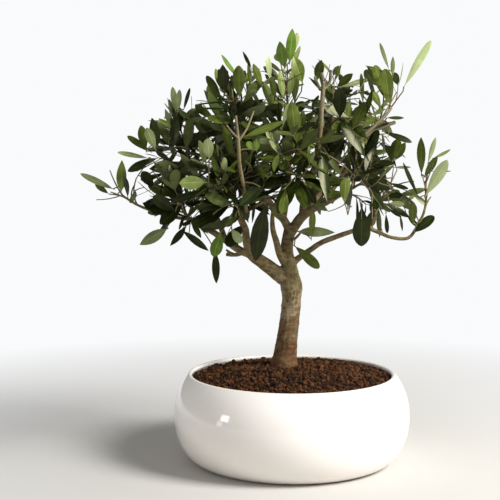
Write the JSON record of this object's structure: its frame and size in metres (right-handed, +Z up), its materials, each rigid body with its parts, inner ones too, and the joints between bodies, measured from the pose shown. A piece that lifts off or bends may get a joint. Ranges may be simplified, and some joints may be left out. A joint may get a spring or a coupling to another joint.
{
  "type": "olive bonsai in a round glazed bowl",
  "caption": "Small olive bonsai with a leaning, forked trunk and an airy spreading crown, standing in gravel in a low round white glazed bowl.",
  "frame": {"origin": "middle of the bowl's flat underside", "axes": "+Z up, -Y towards the tree's front, +X to the right when the front is faced"},
  "size_m": [0.2513, 0.1731, 0.2925],
  "materials": {
    "glaze": "gloss white glaze",
    "gravel": "matt porous grains",
    "bark": "matt fissured bark",
    "leaf": "leathery leaf, satin above and matt below"
  },
  "bodies": {
    "root": {"bowl": "glaze", "gravel": "gravel", "trunk": "bark", "bough_left": "bark", "bough_left_low": "bark", "bough_left_back": "bark", "bough_left_tip": "bark", "bough_upper_right": "bark", "bough_upper_left": "bark", "bough_top": "bark", "bough_back_left": "bark", "bough_leader": "bark", "bough_right_rise": "bark", "bough_back_right": "bark", "bough_mid": "bark", "bough_right": "bark", "bough_right_fork": "bark", "trunk_spur": "bark", "pruned_stub": "bark", "foliage_left_tip": "leaf", "foliage_left_top": "leaf", "foliage_left_low": "leaf", "foliage_front_left": "leaf", "foliage_upper_left": "leaf", "foliage_top": "leaf", "foliage_centre": "leaf", "foliage_leader": "leaf", "foliage_right_top": "leaf", "foliage_right_mid": "leaf", "foliage_right_low": "leaf", "foliage_right_tip": "leaf", "foliage_back_left": "leaf", "foliage_back_right": "leaf", "foliage_trunk_sprig": "leaf"}
  },
  "joints": []
}
